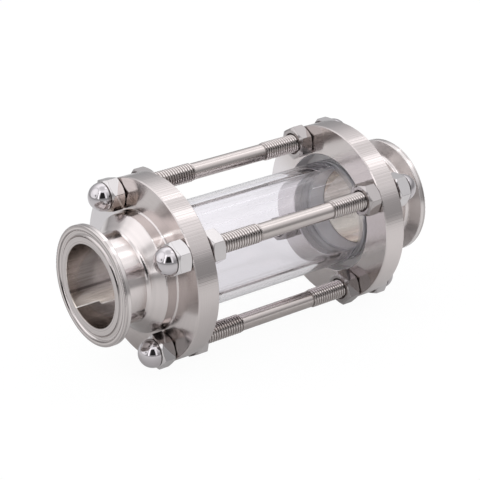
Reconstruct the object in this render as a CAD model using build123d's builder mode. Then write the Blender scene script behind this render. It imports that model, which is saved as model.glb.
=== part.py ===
from build123d import *
import os
from math import radians, tan

# Inline sight glass: a clear tube clamped between two flanged ends by four tie rods.
# Flow runs along X, from the inlet at -X to the outlet at +X. The origin is on the
# flow axis, at the middle of the glass, and Z is up. All sizes are in millimetres.

# Clamp ferrule and pipe
tube_radius = 19.05
tube_wall = 1.65
ferrule_radius = 25.25
rim_thickness = 2.85
taper_angle = 20.0
groove_inset = 3.45
groove_width = 2.7
groove_depth = 1.0
neck_length = 15.25

# Flange and hub
flange_thickness = 10.1
flange_margin = 5.85
hub_height = 5.1
hub_nut_gap = 0.55
shoulder_length = 4.8
recess_depth = 6.0

# Edges of the turned ends
rim_round = 0.5
neck_round = 2.0
hub_round = 0.6
foot_round = 0.8
bore_round = 0.4
edge_break = 0.4

# Glass and gaskets
glass_length = 96.0
glass_radius = 22.65
glass_wall = 4.0
glass_edge = 0.5
glass_clearance = 3.35
gasket_thickness = 2.0
gasket_clearance = 0.1
gasket_bore_margin = 0.35
sleeve_wall = 1.6
sleeve_length = 6.0

# Tie rods: where they stand, seen along the flow axis from +Y towards +Z
rod_count = 4
rod_offset = 7.05
first_rod_angle = 60.0
thread_radius = 4.0
shank_step = 0.45
rod_hole_clearance = 0.5
inlet_thread_run = 27.5
outlet_thread_run = 23.5
rod_end_chamfer = 1.0

# Nuts
across_flats = 13.0
nut_height = 6.5
cap_hex_height = 6.4
cap_thread_depth = 9.5
cap_end_gap = 0.8
cap_neck_height = 0.6
cap_neck_depth = 0.6
dome_inset = 0.45
chamfer_inset = 0.6
chamfer_angle = 30.0
countersink = 0.7

# How far each nut is turned, rod by rod, as it came to rest when tightened
inlet_cap_turns = (163.0, 148.5, 132.5, 172.0)
outlet_cap_turns = (180.0, 179.0, 166.0, 140.0)
inlet_nut_turns = (180.0, 143.0, 150.0, 175.0)
outlet_nut_turns = (148.0, 167.0, 133.0, 155.0)

# Stations along the flow axis, on the outlet side
glass_end = glass_length / 2
recess_floor = glass_end + gasket_thickness
inner_face = recess_floor - recess_depth
outer_face = inner_face + flange_thickness
hub_edge = outer_face + hub_height
neck_start = hub_edge + shoulder_length
ferrule_face = neck_start + neck_length
rim_back = ferrule_face - rim_thickness
taper_foot = rim_back - (ferrule_radius - tube_radius) * tan(radians(taper_angle))
seat_floor = recess_floor + sleeve_length

# Nuts and rods, from the size of the spanner and of the thread
hex_corner_radius = across_flats / 3**0.5
dome_radius = across_flats / 2 - dome_inset
cap_neck_radius = dome_radius - cap_neck_depth
chamfer_circle_radius = across_flats / 2 - chamfer_inset
countersink_radius = thread_radius + countersink
shank_radius = thread_radius - shank_step
rod_hole_radius = thread_radius + rod_hole_clearance
rod_end = outer_face + cap_thread_depth - cap_end_gap

# Radii from the flow axis: the glass sets the recess, the recess sets the bolt circle,
# and that sets the hub inside the nuts and the flange round them
bore_radius = tube_radius - tube_wall
seat_radius = bore_radius + sleeve_wall
gasket_bore_radius = bore_radius + gasket_bore_margin
groove_radius = ferrule_radius - groove_inset
glass_bore_radius = glass_radius - glass_wall
recess_radius = glass_radius + glass_clearance
bolt_circle_radius = recess_radius + rod_offset
hub_radius = bolt_circle_radius - hex_corner_radius - hub_nut_gap
flange_radius = bolt_circle_radius + flange_margin

flow_axis = Axis.X
inlet_side = -1
outlet_side = 1

os.makedirs("parts", exist_ok=True)


def save(part, name):
    """Labels a finished piece and writes it to its own file."""
    part.label = name
    export_step(part, f"parts/{name}.step")


def corners(sketch, *places):
    """The corners of a profile nearest to the given places along and across the flow axis."""
    return [sketch.vertices().sort_by_distance((x, r, 0))[0] for x, r in places]


def rod_planes(x, side, turns=None):
    """One plane for each rod, on a face at x, facing away from it and turned about the rod."""
    planes = []
    for number in range(rod_count):
        angle = first_rod_angle + number * 360 / rod_count
        centre = Vector(0, bolt_circle_radius, 0).rotate(flow_axis, angle) + Vector(x, 0, 0)
        turn = turns[number % len(turns)] if turns else 0
        across = Vector(0, 1, 0).rotate(flow_axis, turn)
        planes.append(Plane(origin=centre, x_dir=across, z_dir=(side, 0, 0)))
    return planes


def section_plane(seat):
    """The plane through a seat's axis: local x runs along that axis, local y away from it."""
    return Plane(origin=seat.origin, x_dir=seat.z_dir, z_dir=seat.y_dir)


# End fitting: ferrule, neck, shoulder, hub and flange, turned as one piece
with BuildPart() as outlet_end_fitting:
    with BuildSketch(Plane.XZ) as profile:
        with BuildLine():
            groove_inner = (ferrule_face, groove_radius - groove_width / 2)
            groove_bottom = (ferrule_face - groove_depth, groove_radius)
            groove_outer = (ferrule_face, groove_radius + groove_width / 2)
            Polyline((seat_floor, bore_radius), (ferrule_face, bore_radius), groove_inner)
            ThreePointArc(groove_inner, groove_bottom, groove_outer)
            Polyline(
                groove_outer,
                (ferrule_face, ferrule_radius),
                (rim_back, ferrule_radius),
                (taper_foot, tube_radius),
                (neck_start, tube_radius),
                (hub_edge, hub_radius),
                (outer_face, hub_radius),
                (outer_face, flange_radius),
                (inner_face, flange_radius),
                (inner_face, recess_radius),
                (recess_floor, recess_radius),
                (recess_floor, seat_radius),
                (seat_floor, seat_radius),
                (seat_floor, bore_radius),
            )
        make_face()
        fillet(corners(profile, (ferrule_face, ferrule_radius), (rim_back, ferrule_radius)), rim_round)
        fillet(corners(profile, (taper_foot, tube_radius), (neck_start, tube_radius)), neck_round)
        fillet(corners(profile, (hub_edge, hub_radius)), hub_round)
        fillet(corners(profile, (outer_face, hub_radius)), foot_round)
        fillet(corners(profile, (ferrule_face, bore_radius)), bore_round)
        chamfer(
            corners(
                profile,
                (outer_face, flange_radius),
                (inner_face, flange_radius),
                (inner_face, recess_radius),
            ),
            edge_break,
        )
    revolve(axis=flow_axis)
    with BuildSketch(Plane.YZ.offset(inner_face)):
        with PolarLocations(bolt_circle_radius, rod_count, start_angle=first_rod_angle):
            Circle(rod_hole_radius)
    extrude(amount=flange_thickness, mode=Mode.SUBTRACT)
save(outlet_end_fitting.part, "outlet_end_fitting")

with BuildPart() as inlet_end_fitting:
    mirror(outlet_end_fitting.part, about=Plane.YZ)
save(inlet_end_fitting.part, "inlet_end_fitting")

# Glass tube, with its ground ends eased
with BuildPart() as glass_tube:
    with BuildSketch(Plane.YZ):
        Circle(glass_radius)
        Circle(glass_bore_radius, mode=Mode.SUBTRACT)
    extrude(amount=glass_length / 2, both=True)
    chamfer(glass_tube.edges().filter_by(GeomType.CIRCLE), glass_edge)
save(glass_tube.part, "glass_tube")

# Hat-shaped gaskets: a flat ring under each end of the glass, and a sleeve in the seat behind it
for side, name in ((inlet_side, "inlet_gasket"), (outlet_side, "outlet_gasket")):
    sleeve_radius = seat_radius - gasket_clearance
    sleeve_end = side * (seat_floor - gasket_clearance)
    with BuildPart() as gasket:
        with BuildSketch(Plane.XZ):
            with BuildLine():
                Polyline(
                    (side * glass_end, gasket_bore_radius),
                    (side * glass_end, glass_radius),
                    (side * recess_floor, glass_radius),
                    (side * recess_floor, sleeve_radius),
                    (sleeve_end, sleeve_radius),
                    (sleeve_end, gasket_bore_radius),
                    close=True,
                )
            make_face()
        revolve(axis=flow_axis)
    save(gasket.part, name)

# Tie rods: full thread at both ends and a thinner plain shank between them
for number, seat in enumerate(rod_planes(0, outlet_side), start=1):
    shank_inlet = -inner_face + inlet_thread_run
    shank_outlet = inner_face - outlet_thread_run
    thread_runout = thread_radius - shank_radius
    with BuildPart() as tie_rod:
        with BuildSketch(section_plane(seat)):
            with BuildLine():
                Polyline(
                    (-rod_end, 0),
                    (-rod_end, thread_radius - rod_end_chamfer),
                    (-rod_end + rod_end_chamfer, thread_radius),
                    (shank_inlet - thread_runout, thread_radius),
                    (shank_inlet, shank_radius),
                    (shank_outlet, shank_radius),
                    (shank_outlet + thread_runout, thread_radius),
                    (rod_end - rod_end_chamfer, thread_radius),
                    (rod_end, thread_radius - rod_end_chamfer),
                    (rod_end, 0),
                    close=True,
                )
            make_face()
        revolve(axis=Axis(seat.origin, seat.z_dir))
    save(tie_rod.part, f"tie_rod_{number}")


def chamfer_depth(radius):
    """How far a nut's corner chamfer reaches along the nut where it is this far from the axis."""
    return (radius - chamfer_circle_radius) * tan(radians(chamfer_angle))


def hex_nut(seat):
    """A plain hexagon nut that stands on its seat, chamfered and countersunk at both ends."""
    outside = hex_corner_radius + edge_break
    reach = chamfer_depth(outside)
    sink = countersink_radius - thread_radius
    axis = Axis(seat.origin, seat.z_dir)
    with BuildPart() as nut:
        with BuildSketch(seat):
            RegularPolygon(hex_corner_radius, side_count=6)
        extrude(amount=nut_height)
        with BuildSketch(section_plane(seat)):
            with BuildLine():
                Polyline(
                    (0, countersink_radius),
                    (0, chamfer_circle_radius),
                    (reach, outside),
                    (nut_height - reach, outside),
                    (nut_height, chamfer_circle_radius),
                    (nut_height, countersink_radius),
                    (nut_height - sink, thread_radius),
                    (sink, thread_radius),
                    close=True,
                )
            make_face()
        revolve(axis=axis, mode=Mode.INTERSECT)
    return nut.part


def cap_nut(seat):
    """A domed cap nut that stands on its seat, with a blind thread and a neck under its dome."""
    outside = hex_corner_radius + edge_break
    reach = chamfer_depth(outside)
    sink = countersink_radius - thread_radius
    dome_base = cap_hex_height + cap_neck_height
    dome_tip = dome_base + dome_radius
    axis = Axis(seat.origin, seat.z_dir)
    with BuildPart() as nut:
        with BuildSketch(seat):
            RegularPolygon(hex_corner_radius, side_count=6)
        extrude(amount=dome_tip)
        with BuildSketch(section_plane(seat)):
            with BuildLine():
                Polyline(
                    (cap_thread_depth, 0),
                    (cap_thread_depth, thread_radius),
                    (sink, thread_radius),
                    (0, countersink_radius),
                    (0, chamfer_circle_radius),
                    (reach, outside),
                    (cap_hex_height - reach, outside),
                    (cap_hex_height, chamfer_circle_radius),
                    (cap_hex_height, cap_neck_radius),
                    (dome_base, cap_neck_radius),
                    (dome_base, dome_radius),
                )
                CenterArc((dome_base, 0), dome_radius, 0, 90)
                Line((dome_tip, 0), (cap_thread_depth, 0))
            make_face()
        revolve(axis=axis, mode=Mode.INTERSECT)
    return nut.part


# Four nuts of each kind at each end: domed caps outside the flanges, plain nuts inside
nut_rows = (
    ("inlet_cap_nut", cap_nut, -outer_face, inlet_side, inlet_cap_turns),
    ("outlet_cap_nut", cap_nut, outer_face, outlet_side, outlet_cap_turns),
    ("inlet_hex_nut", hex_nut, -inner_face, outlet_side, inlet_nut_turns),
    ("outlet_hex_nut", hex_nut, inner_face, inlet_side, outlet_nut_turns),
)
for name, make_nut, face, side, turns in nut_rows:
    for number, seat in enumerate(rod_planes(face, side, turns), start=1):
        save(make_nut(seat), f"{name}_{number}")
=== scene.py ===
from math import cos, pi, radians, sin
from types import SimpleNamespace

import bmesh
import bpy
from mathutils import Matrix, Vector


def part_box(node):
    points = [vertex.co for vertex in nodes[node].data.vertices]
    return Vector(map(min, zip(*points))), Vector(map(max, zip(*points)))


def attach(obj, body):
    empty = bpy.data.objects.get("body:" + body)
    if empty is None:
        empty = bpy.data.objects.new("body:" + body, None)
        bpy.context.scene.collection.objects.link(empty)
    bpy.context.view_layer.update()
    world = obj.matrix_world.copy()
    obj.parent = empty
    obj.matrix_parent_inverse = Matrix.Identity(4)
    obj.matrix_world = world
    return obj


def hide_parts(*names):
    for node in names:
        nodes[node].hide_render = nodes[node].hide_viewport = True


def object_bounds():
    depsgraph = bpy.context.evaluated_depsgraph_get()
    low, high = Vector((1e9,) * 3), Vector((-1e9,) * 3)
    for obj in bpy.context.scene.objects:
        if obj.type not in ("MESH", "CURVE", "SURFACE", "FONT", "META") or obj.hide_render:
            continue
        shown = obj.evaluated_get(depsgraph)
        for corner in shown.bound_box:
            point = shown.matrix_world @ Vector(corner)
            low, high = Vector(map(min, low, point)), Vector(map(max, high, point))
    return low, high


# Looks of the inline sight glass: turned and polished stainless ends, a clear glass tube,
# threaded tie rods and bright nuts. Everything is in metres, in the frame of the CAD part:
# flow along X, Z up, origin on the flow axis at the middle of the glass.

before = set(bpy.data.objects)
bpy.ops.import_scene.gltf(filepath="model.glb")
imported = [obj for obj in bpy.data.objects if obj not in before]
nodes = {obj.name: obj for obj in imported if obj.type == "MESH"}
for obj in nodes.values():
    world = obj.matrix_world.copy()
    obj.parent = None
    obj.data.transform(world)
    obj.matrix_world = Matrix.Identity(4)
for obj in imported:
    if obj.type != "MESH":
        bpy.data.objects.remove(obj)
cad_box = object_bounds()

MM = 0.001
ROD_COUNT = 4
ENDS = ("inlet", "outlet")

# Sizes read from the frame
fitting_low, fitting_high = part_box("outlet_end_fitting")
FERRULE_FACE = fitting_high.x
INNER_FACE = fitting_low.x
FLANGE_RADIUS = fitting_high.z
FLOOR_HEIGHT = min(cad_box[0].z, -FLANGE_RADIUS)

# Turned ends, measured along the flow axis from the middle of the part
OUTER_FACE = INNER_FACE + 10.1 * MM
HUB_EDGE = OUTER_FACE + 5.1 * MM
NECK_START = HUB_EDGE + 4.8 * MM
NECK_END = FERRULE_FACE - 5.1 * MM
FERRULE_BACK = FERRULE_FACE - 2.6 * MM
RECESS_FLOOR = INNER_FACE + 6.0 * MM

# Turned ends, measured across the flow axis
HUB_RADIUS = 25.0 * MM
TUBE_RADIUS = 19.05 * MM
BORE_RADIUS = 17.4 * MM
RECESS_RADIUS = 26.0 * MM
GROOVE_EDGES = (20.45 * MM, 23.15 * MM, 24.7 * MM)

# Glass tube
GLASS_RADIUS = 22.65 * MM

# Nuts: the neck under the dome, and the places along the axis that stay dark, with half their width
NUT_NECK_LOW = OUTER_FACE + 6.4 * MM
NUT_NECK_HIGH = NUT_NECK_LOW + 0.6 * MM
NUT_EDGE_RADIUS = 0.3 * MM
NUT_SEAMS = (
    ((NUT_NECK_LOW + NUT_NECK_HIGH) / 2, 0.25 * MM),
    (OUTER_FACE, 0.35 * MM),
    (INNER_FACE, 0.35 * MM),
)
BOLT_CIRCLE_RADIUS = 33.05 * MM
FIRST_ROD_ANGLE = radians(60.0)
COUNTERSINK_RADIUS = 4.75 * MM

# Tie rods
THREAD_PITCH = 1.25 * MM
THREAD_RADIUS = 4.0 * MM
THREAD_ROOT_RADIUS = 3.27 * MM
SHANK_RADIUS = 3.55 * MM
SHANK_INLET = -16.5 * MM
SHANK_OUTLET = 20.5 * MM
ROD_END_CHAMFER = 1.0 * MM


# Node trees

class Tree:
    """Builds a node tree step by step. Each method adds what it needs and gives its output. A mask is a
    number that is 1 at some place on a piece and 0 elsewhere. A colour is its red, green and blue."""

    def __init__(self, owner):
        owner.use_nodes = True
        self.nodes = owner.node_tree.nodes
        self.links = owner.node_tree.links
        self.nodes.clear()

    def add(self, kind, settings=None, **inputs):
        node = self.nodes.new(kind)
        for name, value in (settings or {}).items():
            setattr(node, name, value)
        for name, value in inputs.items():
            self.feed(node, name.replace("_", " "), value)
        return node

    def feed(self, node, name, value):
        socket = node.inputs[name]
        if isinstance(value, bpy.types.NodeSocket):
            self.links.new(value, socket)
        elif socket.type == "RGBA":
            socket.default_value = (*value, 1.0)
        else:
            socket.default_value = value

    def math(self, operation, first, second=0.0):
        node = self.add("ShaderNodeMath", {"operation": operation})
        self.feed(node, 0, first)
        self.feed(node, 1, second)
        return node.outputs[0]

    def plus(self, first, second):
        return self.math("ADD", first, second)

    def minus(self, first, second):
        return self.math("SUBTRACT", first, second)

    def times(self, *factors):
        product = factors[0]
        for factor in factors[1:]:
            product = self.math("MULTIPLY", product, factor)
        return product

    def greatest(self, *values):
        greatest = values[0]
        for value in values[1:]:
            greatest = self.math("MAXIMUM", greatest, value)
        return greatest

    def magnitude(self, value):
        """The value without its sign."""
        return self.math("ABSOLUTE", value)

    def gap(self, value, centre):
        """How far the value is from a centre, on either side."""
        return self.magnitude(self.minus(value, centre))

    def over(self, value, limit):
        """A mask of where the value is over a limit."""
        return self.math("GREATER_THAN", value, limit)

    def under(self, value, limit):
        """A mask of where the value is under a limit."""
        return self.math("LESS_THAN", value, limit)

    def inverse(self, mask):
        """The mask of all that another mask leaves out."""
        return self.minus(1.0, mask)

    def ramp(self, value, low, high, at_low=0.0, at_high=1.0):
        """A smooth step from one level to another while the value goes from low to high."""
        node = self.add("ShaderNodeMapRange", {"interpolation_type": "SMOOTHSTEP"})
        self.feed(node, "Value", value)
        self.feed(node, "From Min", low)
        self.feed(node, "From Max", high)
        self.feed(node, "To Min", at_low)
        self.feed(node, "To Max", at_high)
        return node.outputs["Result"]

    def fall(self, value, low, high, level=1.0):
        """A level that falls smoothly to 0 while the value goes from low to high."""
        return self.ramp(value, low, high, level, 0.0)

    def near(self, value, centre, full, gone, level=1.0):
        """A level round a centre: all of it within one distance, and none from a wider one on."""
        return self.fall(self.gap(value, centre), full, gone, level)

    def share(self, value, low, high):
        """How far the value has come from low to high, from 0 to 1."""
        node = self.add("ShaderNodeMapRange")
        self.feed(node, "Value", value)
        self.feed(node, "From Min", low)
        self.feed(node, "From Max", high)
        return node.outputs["Result"]

    def mix(self, share, first, second):
        """A blend of two numbers."""
        node = self.add("ShaderNodeMix", {"data_type": "FLOAT"})
        self.feed(node, 0, share)
        self.feed(node, 2, first)
        self.feed(node, 3, second)
        return node.outputs[0]

    def mix_colour(self, share, first, second):
        """A blend of two colours."""
        node = self.add("ShaderNodeMix", {"data_type": "RGBA"})
        self.feed(node, 0, share)
        self.feed(node, 6, first)
        self.feed(node, 7, second)
        return node.outputs[2]

    def layer(self, base, *layers):
        """Numbers laid over a base in turn, each where its mask is."""
        for mask, number in layers:
            base = self.mix(mask, base, number)
        return base

    def paint(self, base, *layers):
        """Colours laid over a base in turn, each where its mask is."""
        for mask, colour in layers:
            base = self.mix_colour(mask, base, colour)
        return base

    def noise(self, vector, scale, detail, roughness):
        node = self.add("ShaderNodeTexNoise", Vector=vector)
        return self.set_noise(node, scale, detail, roughness)

    def lines(self, number, scale, detail, roughness):
        """Noise that changes with one number only."""
        node = self.add("ShaderNodeTexNoise", {"noise_dimensions": "1D"}, W=number)
        return self.set_noise(node, scale, detail, roughness)

    def set_noise(self, node, scale, detail, roughness):
        self.feed(node, "Scale", scale)
        self.feed(node, "Detail", detail)
        self.feed(node, "Roughness", roughness)
        return node.outputs[0]

    def bump(self, height, distance, strength=1.0, normal=None):
        node = self.add("ShaderNodeBump", Height=height, Distance=distance, Strength=strength)
        if normal is not None:
            self.feed(node, "Normal", normal)
        return node.outputs[0]

    def dot(self, first, second):
        node = self.add("ShaderNodeVectorMath", {"operation": "DOT_PRODUCT"})
        self.feed(node, 0, first)
        self.feed(node, 1, second)
        return node.outputs["Value"]

    def diagonal(self, first, second):
        """The long side of a right triangle that has these two short sides."""
        return self.math("SQRT", self.plus(self.times(first, first), self.times(second, second)))

    def place(self):
        """Where a point is on the part: its coordinates, how far it is along the flow axis from the
        middle and across from the axis, and its angle round the axis, from +Y towards +Z."""
        point = self.add("ShaderNodeTexCoord").outputs["Object"]
        x, y, z = self.add("ShaderNodeSeparateXYZ", Vector=point).outputs
        return SimpleNamespace(
            point=point,
            x=x,
            y=y,
            z=z,
            along=self.magnitude(x),
            across=self.diagonal(y, z),
            angle=self.math("ARCTAN2", z, y),
        )

    def stretched(self, point, share):
        """The point with its distance along the flow axis cut to a share, which draws a pattern out."""
        return self.add("ShaderNodeMapping", Vector=point, Scale=(share, 1.0, 1.0)).outputs[0]


def new_material(name):
    material = bpy.data.materials.new(name)
    tree = Tree(material)
    surface = tree.add("ShaderNodeBsdfPrincipled")
    output = tree.add("ShaderNodeOutputMaterial", Surface=surface.outputs[0])
    return material, tree, surface, output


# Turned steel

# Shades of the outside
RING_DARK = (0.59, 0.543, 0.526)
RING_LIGHT = (0.64, 0.587, 0.569)
HUB_AND_OUTLET_LIGHT = (0.71, 0.66, 0.642)
NECK_STEEL = (0.72, 0.665, 0.645)
INLET_PALE_STEEL = (0.71, 0.685, 0.69)
OUTLET_PALE_STEEL = (0.88, 0.845, 0.85)
OUTLET_RIM_BACK = (0.54, 0.495, 0.48)
OUTLET_RIM_FRONT = (0.69, 0.635, 0.615)
FACE_RING_DARK = (0.36, 0.33, 0.32)
FACE_RING_LIGHT = (0.75, 0.695, 0.67)
FERRULE_STEEL = (0.70, 0.655, 0.635)
RECESS_WALL_LOW = (0.92, 0.89, 0.87)
RECESS_WALL_HIGH = (0.60, 0.585, 0.60)
RECESS_FLOOR_STEEL = (0.86, 0.83, 0.82)
GLINT_WHITE = (1.0, 0.97, 0.95)
HATCH_DARK = (0.40, 0.36, 0.34)
# Painted shade under the hub, and dirt with painted shade at the ferrule's groove edges
DIRT_AND_SHADE_DARK = (0.22, 0.20, 0.195)

# Shades of the bore
DRAWN_DARK = (0.38, 0.33, 0.30)
DRAWN_LIGHT = (0.60, 0.54, 0.50)
BORE_SIDE_STEEL = (0.95, 0.88, 0.82)
BORE_TOP_DARK = (0.22, 0.19, 0.18)
BORE_DEEP_DARK = (0.24, 0.205, 0.19)
SEAM_STEEL = (1.0, 0.90, 0.80)
SEAM_EDGE_DARK = (0.20, 0.17, 0.16)
# A painted highlight along the weld's bead
BEAD_HIGHLIGHT = (1.0, 0.95, 0.89)
SCRATCH_DARK = (0.22, 0.185, 0.165)
PATCH_STEEL = (1.0, 0.95, 0.86)

# Marks on the outside, by their angle round the flow axis in radians. Only the chatter is in the metal. The
# pale places and the glint are painted reflections, set to suit the photograph's side.
CHATTER_ANGLE = 2.1
INLET_PALE_ANGLE = radians(26.0)
OUTLET_PALE_ANGLE = -0.2
GLINT_ANGLE = radians(127.0)
# How far the glint turns with each metre away from the hub's round side
GLINT_LEAN = radians(0.67) / MM

# The bore's welded seam, by its angle round the flow axis, with a painted bright patch in the outlet's bore
# and painted shade deep in the inlet's. Deeper than its step the inlet's seam is a little wider, and the
# outlet's is wider all along.
SEAM_LOW = radians(-51.0)
SEAM_HIGH = radians(-30.0)
SEAM_STEP = FERRULE_FACE - 11.0 * MM
SEAM_STEP_WIDTH = 0.095
OUTLET_SEAM_WIDTH = 0.5
SEAM_FADE = 0.25
WELD_PITCH = 0.5 * MM
PATCH_ANGLE = radians(-48.0)
DEEP_SHADE_ANGLE = -0.2

# Roughness of each finish
FLANGE_ROUGHNESS = 0.17
HUB_ROUGHNESS = 0.13
NECK_ROUGHNESS = 0.15
FERRULE_BACK_ROUGHNESS = 0.24
FERRULE_FACE_ROUGHNESS = 0.12
OUTLET_BORE_ROUGHNESS = 0.09
INLET_BORE_ROUGHNESS = 0.21
WELD_ROUGHNESS = 0.11
RECESS_ROUGHNESS = 0.32
RIM_ROUGHNESS = 0.13

# Relief: how high the bumps stand
TOOL_MARK_HEIGHT = 0.02 * MM
WELD_RIPPLE_HEIGHT = 0.05 * MM
POLISH_WAVE_HEIGHT = 0.08 * MM
# How much faster the tool's rings change along the axis than across it
RING_SLANT = 2.1
# How far the tools' marks draw highlights out, and the turn, as a share of a full one, that this takes
# outside the bore
MARK_DRAWING = 0.75
QUARTER_TURN = 0.25


def turned_regions(tree, at):
    """Where each finish of a turned end is."""
    inlet = tree.under(at.x, 0.0)
    rim = tree.ramp(at.across, FLANGE_RADIUS - 0.5 * MM, FLANGE_RADIUS - 0.15 * MM)
    within_hub = tree.fall(at.across, HUB_RADIUS + 0.3 * MM, HUB_RADIUS + 0.9 * MM)
    within_recess = tree.fall(at.across, RECESS_RADIUS + 0.05 * MM, RECESS_RADIUS + 0.3 * MM)
    return SimpleNamespace(
        inlet=inlet,
        outlet=tree.inverse(inlet),
        rim=rim,
        flange=tree.times(tree.under(at.along, OUTER_FACE + 0.1 * MM), tree.inverse(rim)),
        hub=tree.times(within_hub, tree.over(at.along, OUTER_FACE)),
        neck=tree.ramp(at.along, NECK_START - 1.5 * MM, NECK_START + 0.5 * MM),
        ferrule=tree.ramp(at.along, NECK_END - 0.3 * MM, NECK_END + 0.3 * MM),
        face=tree.over(at.along, FERRULE_FACE - 1.2 * MM),
        bore=tree.fall(at.across, BORE_RADIUS + 0.1 * MM, BORE_RADIUS + 0.35 * MM),
        recess=tree.times(within_recess, tree.under(at.along, RECESS_FLOOR + 0.1 * MM)),
    )


def turned_grain(tree, at):
    """The marks that the tools left. Rings follow the profile: they change along the axis on the round
    sides and across it on the faces. Bands and scratches run along the bore, and hatch lines across the
    rims."""
    profile = tree.plus(tree.times(at.along, RING_SLANT), at.across)
    drawn = tree.stretched(at.point, 0.03)
    return SimpleNamespace(
        fine=tree.lines(profile, scale=3200.0, detail=3.0, roughness=0.7),
        rings=tree.lines(profile, scale=1100.0, detail=2.0, roughness=0.7),
        hatch=tree.lines(tree.times(at.angle, FLANGE_RADIUS), scale=2400.0, detail=0.0, roughness=0.5),
        cloud=tree.noise(at.point, scale=60.0, detail=3.0, roughness=0.5),
        waves=tree.noise(at.point, scale=90.0, detail=1.0, roughness=0.4),
        bands=tree.noise(drawn, scale=260.0, detail=3.0, roughness=0.6),
        scratches=tree.noise(drawn, scale=1300.0, detail=3.0, roughness=0.7),
    )


def bore_weld(tree, at, region, grain):
    """The bore's seam: a lighter band between a bead below, painted bright as a highlight, and a dark edge
    above. The band is smoother deeper in."""
    stepped = tree.ramp(at.along, SEAM_STEP - 0.5 * MM, SEAM_STEP)
    low = tree.mix(stepped, SEAM_LOW - SEAM_STEP_WIDTH, SEAM_LOW)
    low = tree.mix(region.inlet, SEAM_LOW - OUTLET_SEAM_WIDTH, low)
    above_low = tree.minus(at.angle, low)
    below_high = tree.fall(at.angle, SEAM_HIGH - SEAM_FADE, SEAM_HIGH + 0.01)
    seam = tree.times(tree.ramp(above_low, -0.015, 0.0), below_high)
    edge = tree.times(region.inlet, tree.near(at.angle, SEAM_HIGH + 0.03, full=0.02, gone=0.04))
    bead = tree.times(region.inlet, tree.fall(tree.magnitude(above_low), 0.010, 0.022))
    towards_mouth = tree.ramp(at.along, SEAM_STEP - 1.0 * MM, FERRULE_FACE, at_low=0.95, at_high=0.22)
    worn = tree.times(seam, towards_mouth, tree.share(grain.scratches, 0.2, 0.5))
    smooth = tree.times(region.bore, tree.greatest(worn, bead))
    return SimpleNamespace(seam=seam, edge=edge, bead=bead, smooth=smooth)


def glint(tree, at, region, grain):
    """A painted reflection: a bright streak that leans across the inlet's hub and flange."""
    centre = tree.plus(GLINT_ANGLE, tree.times(tree.minus(at.across, HUB_RADIUS), GLINT_LEAN))
    streak = tree.near(at.angle, centre, full=0.01, gone=0.04)
    streak = tree.times(streak, tree.under(at.along, HUB_EDGE), region.inlet)
    streak = tree.times(streak, tree.share(grain.fine, 0.25, 0.6))
    return tree.times(streak, tree.inverse(tree.greatest(region.neck, region.rim)))


def hub_underside_shade(tree, at, region):
    """Painted shade under the hub and shoulder, and a dark line of painted shade where the neck starts."""
    height = tree.math("DIVIDE", at.z, at.across)
    under_hub = tree.times(
        tree.fall(height, -0.72, -0.50, level=0.5),
        tree.under(at.along, NECK_START - 0.2 * MM),
    )
    neck_line = tree.times(
        tree.near(at.along, NECK_START, full=0.15 * MM, gone=0.6 * MM, level=0.7),
        tree.fall(height, -0.6, -0.4),
    )
    on_hub = tree.times(region.hub, tree.over(at.across, TUBE_RADIUS - 0.5 * MM))
    return tree.times(tree.greatest(under_hub, neck_line), on_hub)


def turned_outside(tree, at, region, grain):
    """The colour of all but the bore. The glint, the shade under the hub, the pale sectors of the flanges,
    the lighter outlet end and the shades of the outlet's rim, the recess wall and the recess floor are
    painted light, which stays put under other light. The dark lines at the ferrule's groove edges are dirt
    and painted shade."""
    marks = tree.share(grain.rings, 0.25, 0.75)
    # Lighter on the hub, and painted light over the whole outlet end
    polished = tree.greatest(tree.times(region.hub, 0.4), tree.times(region.outlet, 0.5))
    inlet_pale = tree.near(at.angle, INLET_PALE_ANGLE, full=0.25, gone=0.55, level=0.9)
    outlet_pale = tree.near(at.angle, OUTLET_PALE_ANGLE, full=0.45, gone=0.9, level=0.8)
    to_front = tree.ramp(tree.magnitude(at.angle), 1.9, 2.6)
    outlet_rim = tree.mix_colour(to_front, OUTLET_RIM_BACK, OUTLET_RIM_FRONT)
    ferrule_steel = tree.mix_colour(marks, FACE_RING_DARK, FACE_RING_LIGHT)
    ferrule_steel = tree.mix_colour(region.face, FERRULE_STEEL, ferrule_steel)
    # The recess wall's lighter low side and darker top, and the lighter recess floor, are painted light and
    # shade
    recess_wall = tree.mix_colour(tree.ramp(at.angle, -0.2, 1.0), RECESS_WALL_LOW, RECESS_WALL_HIGH)
    recess_floor = tree.over(at.along, RECESS_FLOOR - 0.1 * MM)
    chatter = tree.times(tree.near(at.angle, CHATTER_ANGLE, full=0.15, gone=0.55), region.rim)
    hatch = tree.times(tree.share(grain.hatch, 0.45, 0.62), chatter, 0.5)
    shade = tree.paint(
        tree.mix_colour(marks, RING_DARK, RING_LIGHT),
        (polished, HUB_AND_OUTLET_LIGHT),
        (region.neck, NECK_STEEL),
        (glint(tree, at, region, grain), GLINT_WHITE),
        (hub_underside_shade(tree, at, region), DIRT_AND_SHADE_DARK),
        (tree.times(inlet_pale, region.inlet, region.flange), INLET_PALE_STEEL),
        (tree.times(outlet_pale, region.outlet, region.flange), OUTLET_PALE_STEEL),
        (tree.times(region.rim, region.outlet), outlet_rim),
        (region.ferrule, ferrule_steel),
        (region.recess, tree.mix_colour(recess_floor, recess_wall, RECESS_FLOOR_STEEL)),
        (hatch, HATCH_DARK),
    )
    # Dark lines of dirt and painted shade at the edges of the ferrule's groove
    for radius in GROOVE_EDGES:
        line = tree.near(at.across, radius, full=0.08 * MM, gone=0.32 * MM, level=0.6)
        shade = tree.mix_colour(tree.times(line, region.face), shade, DIRT_AND_SHADE_DARK)
    return shade


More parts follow.
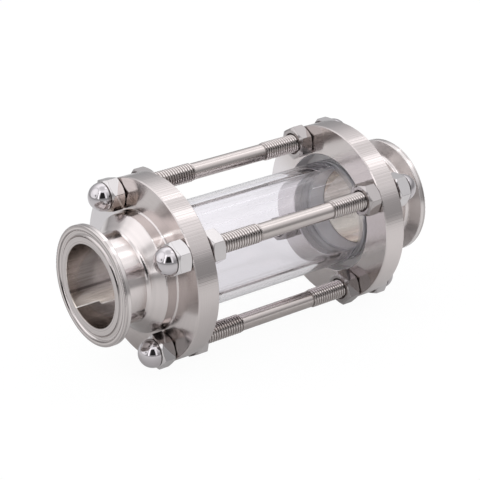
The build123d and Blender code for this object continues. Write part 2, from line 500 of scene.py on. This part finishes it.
def turned_bore(tree, at, region, grain, weld):
    """The colour of the bore: tan drawn metal in bands, with its seam and scratches. The lighter sides near
    the mouth, the darker top, the dark deep in the inlet's and the outlet's bright patch are painted."""
    sides = tree.times(
        tree.fall(tree.magnitude(at.angle), 0.15, 0.5, level=0.9),
        tree.ramp(at.along, FERRULE_FACE - 16.0 * MM, FERRULE_FACE - 2.0 * MM, at_low=0.15),
    )
    scratches = tree.times(tree.share(grain.scratches, 0.35, 0.65), tree.mix(weld.seam, 0.5, 0.08))
    patch = tree.ramp(tree.gap(at.angle, PATCH_ANGLE), 0.2, 0.45, at_low=1.0, at_high=0.1)
    deep = tree.times(
        tree.fall(at.along, FERRULE_FACE - 18.0 * MM, FERRULE_FACE - 11.0 * MM, level=0.65),
        tree.near(at.angle, DEEP_SHADE_ANGLE, full=0.2, gone=0.4),
        region.inlet,
    )
    return tree.paint(
        tree.mix_colour(tree.share(grain.bands, 0.3, 0.7), DRAWN_DARK, DRAWN_LIGHT),
        (sides, BORE_SIDE_STEEL),
        (tree.ramp(at.angle, 0.2, 0.8, at_high=0.3), BORE_TOP_DARK),
        (weld.seam, SEAM_STEEL),
        (weld.edge, SEAM_EDGE_DARK),
        (weld.bead, BEAD_HIGHLIGHT),
        (scratches, SCRATCH_DARK),
        (tree.times(region.outlet, patch), PATCH_STEEL),
        (deep, BORE_DEEP_DARK),
    )


def turned_roughness(tree, at, region, grain, weld):
    """Each finish has its own roughness, a little uneven from ring to ring and from place to place."""
    ferrule = tree.ramp(
        at.along,
        FERRULE_BACK - 0.3 * MM,
        FERRULE_BACK + 0.1 * MM,
        at_low=FERRULE_BACK_ROUGHNESS,
        at_high=FERRULE_FACE_ROUGHNESS,
    )
    roughness = tree.layer(
        FLANGE_ROUGHNESS,
        (region.hub, HUB_ROUGHNESS),
        (region.neck, NECK_ROUGHNESS),
        (region.ferrule, ferrule),
        (region.bore, tree.mix(region.inlet, OUTLET_BORE_ROUGHNESS, INLET_BORE_ROUGHNESS)),
        (region.recess, RECESS_ROUGHNESS),
        (region.rim, RIM_ROUGHNESS),
    )
    uneven = tree.times(tree.minus(grain.fine, 0.5), 0.08)
    hazy = tree.times(tree.minus(grain.cloud, 0.5), 0.06)
    roughness = tree.plus(roughness, tree.plus(uneven, hazy))
    return tree.mix(weld.smooth, roughness, WELD_ROUGHNESS)


def turned_dullness(tree, at, region, weld):
    """How far the metal has lost its mirror: most of it in the recess, some on the ferrule's back and a
    little on the weld."""
    ferrule_back = tree.times(
        region.ferrule,
        tree.under(at.along, FERRULE_BACK),
        tree.over(at.across, TUBE_RADIUS + 0.2 * MM),
    )
    return tree.greatest(
        tree.times(region.recess, 0.85),
        tree.times(weld.seam, region.bore, 0.15),
        tree.times(ferrule_back, 0.4),
    )


def turned_relief(tree, at, region, grain, weld):
    """The bumps: slow waves from polishing, the weld's ripples, and the tools' marks on top."""
    marks = tree.plus(tree.times(grain.fine, 0.4), grain.rings)
    marks = tree.times(marks, tree.mix(region.neck, 0.8, 0.2))
    rim_marks = tree.plus(tree.times(grain.fine, 0.3), tree.times(grain.hatch, 1.5))
    marks = tree.layer(marks, (region.rim, rim_marks), (region.bore, grain.scratches))
    ripple = tree.math("SINE", tree.times(at.x, 2 * pi / WELD_PITCH))
    relief = tree.bump(grain.waves, POLISH_WAVE_HEIGHT, strength=tree.mix(region.neck, 0.5, 0.15))
    relief = tree.bump(tree.times(ripple, weld.smooth), WELD_RIPPLE_HEIGHT, normal=relief)
    return tree.bump(marks, TOOL_MARK_HEIGHT, strength=0.5, normal=relief)


def turned_steel():
    """Stainless steel off the lathe: fine rings on the faces, a polished neck, a satin flange and a drawn
    bore with its welded seam. Its highlights are drawn out across the tools' marks."""
    material, tree, surface, _ = new_material("turned_steel")
    at = tree.place()
    region = turned_regions(tree, at)
    grain = turned_grain(tree, at)
    weld = bore_weld(tree, at, region, grain)
    outside = turned_outside(tree, at, region, grain)
    bore = turned_bore(tree, at, region, grain, weld)
    tree.feed(surface, "Base Color", tree.mix_colour(region.bore, outside, bore))
    tree.feed(surface, "Roughness", turned_roughness(tree, at, region, grain, weld))
    tree.feed(surface, "Metallic", tree.inverse(turned_dullness(tree, at, region, weld)))
    tree.feed(surface, "Normal", turned_relief(tree, at, region, grain, weld))
    tangent = tree.add("ShaderNodeTangent", {"direction_type": "RADIAL", "axis": "X"}).outputs[0]
    tree.feed(surface, "Tangent", tangent)
    tree.feed(surface, "Anisotropic", MARK_DRAWING)
    tree.feed(surface, "Anisotropic Rotation", tree.mix(region.bore, QUARTER_TURN, 0.0))
    return material


# Rod steel

SHANK_STEEL_DARK = (0.55, 0.50, 0.475)
SHANK_STEEL_LIGHT = (0.62, 0.565, 0.54)
THREAD_STEEL = (0.70, 0.645, 0.62)
# Thread roots darkened with dirt and painted shade
THREAD_ROOT_DARK = (0.25, 0.215, 0.20)
# The stretch of the rod that has no thread marks
PLAIN_CENTRE = 1.5 * MM
PLAIN_HALF_LENGTH = 18.8 * MM
DRAWN_LINE_HEIGHT = 0.005 * MM


def rod_steel():
    """Stainless rod with rolled threads: roots darkened with dirt and painted shade under brighter crests,
    and a drawn shank with fine lines along it."""
    material, tree, surface, _ = new_material("rod_steel")
    at = tree.place()
    lines = tree.noise(tree.stretched(at.point, 0.008), scale=1100.0, detail=2.0, roughness=0.6)
    cloud = tree.noise(at.point, scale=90.0, detail=3.0, roughness=0.5)
    threaded = tree.over(tree.gap(at.x, PLAIN_CENTRE), PLAIN_HALF_LENGTH)
    crest = tree.ramp(at.across, THREAD_ROOT_RADIUS + 0.1 * MM, THREAD_RADIUS - 0.08 * MM)
    root = tree.times(threaded, tree.inverse(crest))
    shade = tree.paint(
        tree.mix_colour(cloud, SHANK_STEEL_DARK, SHANK_STEEL_LIGHT),
        (threaded, THREAD_STEEL),
        (root, THREAD_ROOT_DARK),
    )
    tree.feed(surface, "Base Color", shade)
    shank_roughness = tree.mix(lines, 0.13, 0.25)
    thread_roughness = tree.mix(root, 0.12, 0.35)
    tree.feed(surface, "Roughness", tree.mix(threaded, shank_roughness, thread_roughness))
    tree.feed(surface, "Metallic", 1.0)
    relief = tree.times(lines, tree.inverse(threaded))
    tree.feed(surface, "Normal", tree.bump(relief, DRAWN_LINE_HEIGHT, strength=0.5))
    return material


# Nut steel

CAP_NUT_ROUGHNESS = 0.05
CAP_NUT_STEEL = (0.72, 0.695, 0.69)
DOME_STEEL = (0.59, 0.56, 0.57)
HEX_NUT_ROUGHNESS = 0.10
HEX_NUT_STEEL = (0.66, 0.63, 0.62)
NUT_CLOUD_STEEL = (0.50, 0.46, 0.45)
NUT_SHADE_DARK = (0.20, 0.17, 0.16)
NUT_EDGE_DARK = (0.22, 0.195, 0.19)
NUT_SEAM_DARK = (0.16, 0.135, 0.13)
BROWN_TINGE = (0.38, 0.32, 0.275)
NUT_CLOUD_HEIGHT = 0.02 * MM
# The heights on the topmost nuts between which their brown tinge fades
BROWN_TINGE_LOW = 26.0 * MM
BROWN_TINGE_HIGH = 32.0 * MM


def nut_brown_tinge(tree, at, dome):
    """A brown tinge on the hexagons of the inlet's topmost nuts, stronger towards their lower side."""
    topmost = tree.times(tree.over(at.z, BOLT_CIRCLE_RADIUS / 2), tree.over(at.y, 0.0))
    brown_tinge = tree.ramp(at.z, BROWN_TINGE_LOW, BROWN_TINGE_HIGH, at_low=0.85, at_high=0.12)
    return tree.times(brown_tinge, tree.under(at.x, 0.0), topmost, tree.inverse(dome))


def nut_seams(tree, at):
    """The dark lines of dirt and painted shade under the dome, where a nut bears on a flange, and in an
    inner nut's countersink.
    """
    seams = []
    for centre, half_width in NUT_SEAMS:
        seams.append(tree.near(at.along, centre, half_width - 0.1 * MM, half_width + 0.1 * MM))
    # The four rods lie a quarter turn apart, so the nearest one is found in a frame turned to the first
    turned = tree.add("ShaderNodeMapping", Vector=at.point, Rotation=(-FIRST_ROD_ANGLE, 0, 0)).outputs[0]
    _, turned_y, turned_z = tree.add("ShaderNodeSeparateXYZ", Vector=turned).outputs
    side_y = tree.magnitude(turned_y)
    side_z = tree.magnitude(turned_z)
    outward = tree.minus(tree.greatest(side_y, side_z), BOLT_CIRCLE_RADIUS)
    sideways = tree.math("MINIMUM", side_y, side_z)
    from_rod = tree.diagonal(outward, sideways)
    countersink = tree.fall(from_rod, COUNTERSINK_RADIUS, COUNTERSINK_RADIUS + 0.1 * MM)
    seams.append(tree.times(countersink, tree.under(at.along, INNER_FACE)))
    return tree.greatest(*seams)


def nut_steel(name, roughness, hex_steel, dome_steel):
    """Bright stainless nut: polished, with fine handling marks, and dirt and painted shade as dark lines
    along its eased edges and in its joints. The outlet's inner nuts are painted darker, as shade."""
    material, tree, surface, _ = new_material(name)
    at = tree.place()
    cloud = tree.noise(at.point, scale=220.0, detail=4.0, roughness=0.6)
    marks = tree.noise(at.point, scale=1400.0, detail=2.0, roughness=0.5)
    dome = tree.ramp(at.along, NUT_NECK_HIGH - 0.1 * MM, NUT_NECK_HIGH + 0.1 * MM)
    # The outlet's inner nuts are painted darker, as shade
    outlet_inner = tree.under(tree.gap(at.x, INNER_FACE / 2), INNER_FACE / 2)
    # Dark lines of dirt and painted shade along the eased edges
    eased = tree.add("ShaderNodeBevel", {"samples": 6}, Radius=NUT_EDGE_RADIUS).outputs[0]
    flat = tree.add("ShaderNodeNewGeometry").outputs["True Normal"]
    edge = tree.times(tree.fall(tree.dot(eased, flat), 0.93, 0.995, level=0.62), tree.inverse(dome))
    shade = tree.paint(
        tree.mix_colour(dome, hex_steel, dome_steel),
        (tree.times(cloud, 0.25), NUT_CLOUD_STEEL),
        (tree.times(outlet_inner, 0.42), NUT_SHADE_DARK),
        (nut_brown_tinge(tree, at, dome), BROWN_TINGE),
        (edge, NUT_EDGE_DARK),
        (nut_seams(tree, at), NUT_SEAM_DARK),
    )
    tree.feed(surface, "Base Color", shade)
    tree.feed(surface, "Roughness", tree.mix(marks, roughness * 0.6, roughness * 1.4))
    tree.feed(surface, "Metallic", 1.0)
    tree.feed(surface, "Normal", tree.bump(cloud, NUT_CLOUD_HEIGHT, strength=0.4, normal=eased))
    return material


# Glass and rubber

GLASS_TINT = (0.972, 0.957, 0.983)
GLASS_INDEX = 1.47
# How strongly each metre of glass takes light away
GLASS_ABSORPTION = 10.0
GLASS_WAVE_HEIGHT = 0.06 * MM
RUBBER_DARK = (0.78, 0.76, 0.77)
RUBBER_LIGHT = (0.92, 0.90, 0.90)
RUBBER_RING_DARK = (0.64, 0.62, 0.63)
RUBBER_GRAIN_HEIGHT = 0.02 * MM


def clear_glass():
    """Clear borosilicate tube, very slightly wavy along its length as drawn glass is, with a few fine pale
    streaks painted on its upper side as reflections, and slightly cloudy ground ends."""
    material, tree, surface, output = new_material("clear_glass")
    at = tree.place()
    stretch = tree.stretched(at.point, 0.03)
    waves = tree.noise(stretch, scale=110.0, detail=2.0, roughness=0.5)
    reflection_streak_noise = tree.noise(stretch, scale=900.0, detail=1.0, roughness=0.5)
    # Pale streaks painted on the upper side as reflections
    streaks = tree.times(
        tree.ramp(reflection_streak_noise, 0.60, 0.70, at_high=0.35),
        tree.over(at.across, GLASS_RADIUS - 0.3 * MM),
        tree.ramp(at.angle, 1.5, 1.7),
        tree.fall(at.angle, 2.2, 2.5),
    )
    ground_ends = tree.ramp(at.along, INNER_FACE + 0.3 * MM, INNER_FACE + 1.5 * MM, at_high=0.38)
    tree.feed(surface, "Base Color", GLASS_TINT)
    tree.feed(surface, "Roughness", 0.0)
    tree.feed(surface, "IOR", GLASS_INDEX)
    tree.feed(surface, "Transmission Weight", tree.inverse(tree.greatest(streaks, ground_ends)))
    tree.feed(surface, "Normal", tree.bump(waves, GLASS_WAVE_HEIGHT, strength=0.5))
    body = tree.add("ShaderNodeVolumeAbsorption", Color=(0.0, 0.0, 0.0), Density=GLASS_ABSORPTION)
    tree.feed(output, "Volume", body.outputs[0])
    return material


def gasket_rubber():
    """White silicone, smooth and slightly dull, with a faint mottle and moulding rings."""
    material, tree, surface, _ = new_material("gasket_rubber")
    at = tree.place()
    cloud = tree.noise(at.point, scale=300.0, detail=3.0, roughness=0.5)
    grain = tree.noise(at.point, scale=3000.0, detail=2.0, roughness=0.5)
    rings = tree.share(tree.lines(at.across, scale=900.0, detail=2.0, roughness=0.6), 0.3, 0.7)
    shade = tree.mix_colour(cloud, RUBBER_DARK, RUBBER_LIGHT)
    tree.feed(surface, "Base Color", tree.mix_colour(rings, RUBBER_RING_DARK, shade))
    tree.feed(surface, "Roughness", tree.mix(grain, 0.25, 0.4))
    tree.feed(surface, "Normal", tree.bump(grain, RUBBER_GRAIN_HEIGHT, strength=0.4))
    return material


# Finishes on the CAD nodes

materials = {
    "turned_steel": turned_steel(),
    "rod_steel": rod_steel(),
    "cap_nut_steel": nut_steel("cap_nut_steel", CAP_NUT_ROUGHNESS, CAP_NUT_STEEL, DOME_STEEL),
    "hex_nut_steel": nut_steel("hex_nut_steel", HEX_NUT_ROUGHNESS, HEX_NUT_STEEL, HEX_NUT_STEEL),
    "clear_glass": clear_glass(),
    "gasket_rubber": gasket_rubber(),
}


def dress(node, slot):
    """Gives a CAD node its finish."""
    piece = nodes[node]
    piece.data.materials.clear()
    piece.data.materials.append(materials[slot])


for end in ENDS:
    dress(f"{end}_end_fitting", "turned_steel")
    dress(f"{end}_gasket", "gasket_rubber")
    for number in range(1, ROD_COUNT + 1):
        dress(f"{end}_cap_nut_{number}", "cap_nut_steel")
        dress(f"{end}_hex_nut_{number}", "hex_nut_steel")
dress("glass_tube", "clear_glass")


# Tie rods with their real helical threads

# One pitch of the thread, as shares of the pitch and of the depth below the crest
THREAD_PROFILE = ((0.0, 0.0), (0.085, 0.05), (0.37, 0.95), (0.5, 1.0), (0.63, 0.95), (0.915, 0.05))
TURN_STEPS = 40
# Turns past the rod's ends, whose points fall together there
SPARE_TURNS = 3
SAME_POINT = 1e-7
# A face with this many corners or more is a flat end, not a patch of the round side
END_CORNERS = 10


def rod_radius(x, depth, rod_end):
    """The rod's radius at x, where the thread is at this share of its depth."""
    into_shank = min(x - SHANK_INLET, SHANK_OUTLET - x)
    thread = THREAD_RADIUS - depth * (THREAD_RADIUS - THREAD_ROOT_RADIUS)
    fade = min(max(into_shank / THREAD_PITCH + 1.0, 0.0), 1.0)
    body = thread + (SHANK_RADIUS - thread) * fade
    tip = THREAD_RADIUS - ROD_END_CHAMFER + (rod_end - abs(x))
    return min(body, tip)


def threaded_rod(number):
    """One tie rod: a grid of points wound round it with the thread's own lead."""
    low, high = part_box(f"tie_rod_{number}")
    centre = (low + high) / 2
    rod_end = high.x
    steps = len(THREAD_PROFILE)
    rows = steps * (int((high.x - low.x) / THREAD_PITCH) + SPARE_TURNS)
    points = []
    for column in range(TURN_STEPS):
        angle = 2 * pi * column / TURN_STEPS
        for row in range(rows):
            share, depth = THREAD_PROFILE[row % steps]
            x = low.x + THREAD_PITCH * (row // steps - 1 + share + column / TURN_STEPS)
            x = min(max(x, low.x), high.x)
            radius = rod_radius(x, depth, rod_end)
            points.append((x, radius * cos(angle), radius * sin(angle)))
    # The last column meets the first one a whole pitch further on
    faces = []
    for column in range(TURN_STEPS):
        last = column == TURN_STEPS - 1
        shift = steps if last else 0
        here = column * rows
        there = 0 if last else here + rows
        for row in range(rows - 1 - shift):
            faces.append((here + row, here + row + 1, there + row + 1 + shift, there + row + shift))
    mesh = bpy.data.meshes.new(f"threaded_rod_{number}")
    mesh.from_pydata(points, [], faces)
    mesh.materials.append(materials["rod_steel"])
    rod = bpy.data.objects.new(f"threaded_rod_{number}", mesh)
    rod.location = (0, centre.y, centre.z)
    bpy.context.scene.collection.objects.link(rod)
    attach(rod, "root")
    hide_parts(f"tie_rod_{number}")
    return rod


def close_and_smooth(rod):
    """Merges the points that fall together at the rod's ends, closes the ends and shades it smooth."""
    shape = bmesh.new()
    shape.from_mesh(rod.data)
    bmesh.ops.remove_doubles(shape, verts=shape.verts, dist=SAME_POINT)
    bmesh.ops.dissolve_degenerate(shape, edges=shape.edges, dist=SAME_POINT)
    bmesh.ops.holes_fill(shape, edges=[edge for edge in shape.edges if edge.is_boundary], sides=0)
    bmesh.ops.recalc_face_normals(shape, faces=shape.faces)
    for face in shape.faces:
        face.smooth = len(face.verts) < END_CORNERS
    shape.to_mesh(rod.data)
    shape.free()


for number in range(1, ROD_COUNT + 1):
    close_and_smooth(threaded_rod(number))


# Floor

FLOOR_SIZE = 3.0
PAPER_WHITE = 0.78
# How bright the paper shows by itself to the camera and in reflections, and what share of it that is
SEEN_LEVEL = 1.02
SEEN_SHARE = 0.94
MIRRORED_LEVEL = 0.90
MIRRORED_SHARE = 0.28


def floor_paper():
    """Pale paper that shows as white, also through the glass, where painted shade darkens it near the part.
    In the metal it shows painted shade far away and right under the part."""
    material = bpy.data.materials.new("floor")
    tree = Tree(material)
    rays = tree.add("ShaderNodeLightPath").outputs
    coordinates = tree.add("ShaderNodeTexCoord").outputs["Object"]
    x, y, _ = tree.add("ShaderNodeSeparateXYZ", Vector=coordinates).outputs
    distance = tree.diagonal(x, y)
    # Painted shade under the part and far away, as the metal mirrors it
    under_part = tree.ramp(distance, 0.03, 0.12, at_low=0.85, at_high=1.0)
    far_away = tree.ramp(distance, 0.10, 0.75, at_low=1.0, at_high=0.50)
    fade = tree.mix(rays["Is Glossy Ray"], 1.0, tree.times(under_part, far_away))
    paper = tree.add("ShaderNodeBsdfDiffuse", Color=tree.times(fade, PAPER_WHITE))
    level = tree.times(fade, tree.mix(rays["Is Glossy Ray"], SEEN_LEVEL, MIRRORED_LEVEL))
    # Painted shade near the part, as seen through the glass
    through_glass = tree.ramp(distance, 0.04, 0.12, at_low=0.82, at_high=1.03)
    level = tree.mix(rays["Is Transmission Ray"], level, through_glass)
    white = tree.add("ShaderNodeEmission", Color=(1.0, 1.0, 1.0), Strength=level)
    seen = tree.greatest(rays["Is Camera Ray"], rays["Is Transmission Ray"])
    share = tree.greatest(tree.times(seen, SEEN_SHARE), tree.times(rays["Is Glossy Ray"], MIRRORED_SHARE))
    mix = tree.add("ShaderNodeMixShader")
    tree.feed(mix, 0, share)
    tree.feed(mix, 1, paper.outputs[0])
    tree.feed(mix, 2, white.outputs[0])
    tree.add("ShaderNodeOutputMaterial", Surface=mix.outputs[0])
    return material


def make_floor():
    """A plain pale floor under the part."""
    far = FLOOR_SIZE
    corners = [(x, y, FLOOR_HEIGHT) for x, y in ((-far, -far), (far, -far), (far, far), (-far, far))]
    mesh = bpy.data.meshes.new("floor")
    mesh.from_pydata(corners, [], [(0, 1, 2, 3)])
    mesh.materials.append(floor_paper())
    floor = bpy.data.objects.new("floor", mesh)
    bpy.context.scene.collection.objects.link(floor)


make_floor()


# Light: a white studio round the object, dim along the horizon and brightest high up on its walls

def direction(azimuth, elevation):
    """A direction from its compass angle, from +Y towards +X, and its height, in degrees."""
    turn = radians(azimuth)
    lift = radians(elevation)
    return (sin(turn) * cos(lift), cos(turn) * cos(lift), sin(lift))


# How bright the studio is at some heights in degrees, in the four quarters: behind the part,
# to the right, in front and to the left, as the camera sees it. Fitted to the photographed metal.
STUDIO_AZIMUTH = 38.0
STUDIO_TINT = (0.985, 0.99, 1.02)
STUDIO_LEVELS = (
    (0.0, (0.41, 0.36, 0.42, 0.62)),
    (15.0, (0.54, 0.41, 0.42, 0.70)),
    (27.0, (0.76, 0.84, 0.50, 0.80)),
    (40.0, (1.24, 1.02, 0.70, 1.05)),
    (52.0, (1.62, 1.45, 1.05, 1.30)),
    (63.0, (1.60, 1.50, 1.40, 1.45)),
    (76.0, (0.95, 0.95, 0.95, 0.95)),
)
BEHIND, RIGHT, FRONT, LEFT = range(4)
# Keeps a share's divisor above 0 straight overhead
NEVER_ZERO = 1e-6

# Lamps and dark cards in the studio, each with its brightness, laid over those before it. Angles are in
# degrees. A square one fades over its softness, and a taper narrows it towards its top. A round one is
# full within its inner angle and gone at its outer one.
STUDIO_CARDS = (
    (1.22, "square", dict(azimuth=102, elevation=58, half_width=17, half_height=12, softness=5)),
    (1.95, "square", dict(azimuth=107, elevation=57, half_width=2, half_height=13, softness=7)),
    (2.6, "square", dict(azimuth=64, elevation=51, half_width=0.6, half_height=8, softness=0.6)),
    (0.85, "round", dict(azimuth=-64, elevation=30, inner=36, outer=38)),
    (1.25, "round", dict(azimuth=-64, elevation=30, inner=32, outer=34)),
    (1.50, "round", dict(azimuth=-62, elevation=40, inner=10, outer=26)),
    (0.40, "round", dict(azimuth=-87, elevation=20, inner=4, outer=9)),
    (1.30, "square", dict(azimuth=-176, elevation=28, half_width=5, half_height=21, softness=3)),
    (1.9, "square", dict(azimuth=-113, elevation=33, half_width=5, half_height=29, softness=3)),
    (0.45, "square", dict(azimuth=-107, elevation=20, half_width=1, half_height=26, softness=1.5)),
    (
        0.03,
        "square",
        dict(azimuth=-147, elevation=31, half_width=17, half_height=22, softness=2, taper=0.25),
    ),
)


def make_world():
    world = bpy.data.worlds.new("studio")
    bpy.context.scene.world = world
    tree = Tree(world)
    towards = tree.add("ShaderNodeTexCoord").outputs["Generated"]

    def along(way):
        """How far the looked-at direction points this way."""
        return tree.dot(towards, way)

    def round_card(azimuth, elevation, inner, outer):
        return tree.ramp(along(direction(azimuth, elevation)), cos(radians(outer)), cos(radians(inner)))

    def square_card(azimuth, elevation, half_width, half_height, softness, taper=0.0):
        ahead = along(direction(azimuth, elevation))
        aside = tree.magnitude(along(direction(azimuth + 90, 0)))
        above = tree.math("ARCTAN2", along(direction(azimuth, elevation + 90)), ahead)
        sideways = tree.plus(tree.math("ARCTAN2", aside, ahead), tree.times(above, taper))
        return tree.times(
            tree.fall(sideways, radians(half_width), radians(half_width + softness)),
            tree.fall(tree.magnitude(above), radians(half_height), radians(half_height + softness)),
        )

    height = tree.times(tree.math("ARCSINE", along((0, 0, 1))), 180 / pi)
    away = along(direction(STUDIO_AZIMUTH, 0))
    aside = along(direction(STUDIO_AZIMUTH + 90, 0))
    away_square = tree.times(away, away)
    both = tree.plus(tree.plus(away_square, tree.times(aside, aside)), NEVER_ZERO)
    away_share = tree.math("DIVIDE", away_square, both)

    def wall(quarter):
        """The brightness of one quarter at the looked-at height."""
        low, levels = STUDIO_LEVELS[0]
        level = levels[quarter]
        for high, levels in STUDIO_LEVELS[1:]:
            level = tree.mix(tree.share(height, low, high), level, levels[quarter])
            low = high
        return level

    front_or_behind = tree.mix(tree.over(away, 0.0), wall(FRONT), wall(BEHIND))
    left_or_right = tree.mix(tree.over(aside, 0.0), wall(LEFT), wall(RIGHT))
    level = tree.mix(away_share, left_or_right, front_or_behind)
    cards = {"round": round_card, "square": square_card}
    for brightness, shape, sizes in STUDIO_CARDS:
        level = tree.mix(cards[shape](**sizes), level, brightness)
    # The camera sees plain white behind the part, also through the glass
    rays = tree.add("ShaderNodeLightPath").outputs
    seen = tree.greatest(rays["Is Camera Ray"], rays["Is Transmission Ray"])
    level = tree.mix(seen, level, 1.0)
    background = tree.add("ShaderNodeBackground", Color=STUDIO_TINT, Strength=level)
    tree.add("ShaderNodeOutputWorld", Surface=background.outputs[0])


make_world()


# Camera, fitted to the photograph's ellipses

IMAGE_SIZE = 480
CAMERA_AZIMUTH = 37.807
CAMERA_ELEVATION = 23.781
CAMERA_DISTANCE = 754.786 * MM
FOCAL_PIXELS = 1788.724
ORIGIN_PIXEL = (247.13, 237.44)
SENSOR_WIDTH = 36.0
CLIP_START = 0.01


def make_camera():
    """The camera stands in front of the part and above it, to the inlet's side, and looks along +Y and
    +X."""
    forward = Vector(direction(CAMERA_AZIMUTH, -CAMERA_ELEVATION))
    right = forward.cross(Vector((0, 0, 1))).normalized()
    up = right.cross(forward)
    middle = IMAGE_SIZE / 2
    aside = (ORIGIN_PIXEL[0] - middle) * CAMERA_DISTANCE / FOCAL_PIXELS
    above = (middle - ORIGIN_PIXEL[1]) * CAMERA_DISTANCE / FOCAL_PIXELS
    data = bpy.data.cameras.new("camera")
    data.sensor_width = SENSOR_WIDTH
    data.lens = FOCAL_PIXELS * SENSOR_WIDTH / IMAGE_SIZE
    data.clip_start = CLIP_START
    camera = bpy.data.objects.new("camera", data)
    bpy.context.scene.collection.objects.link(camera)
    rotation = Matrix((right, up, -forward)).transposed().to_4x4()
    place = -forward * CAMERA_DISTANCE - right * aside - up * above
    camera.matrix_world = Matrix.Translation(place) @ rotation
    bpy.context.scene.camera = camera


make_camera()

bpy.context.scene.view_settings.view_transform = "Standard"
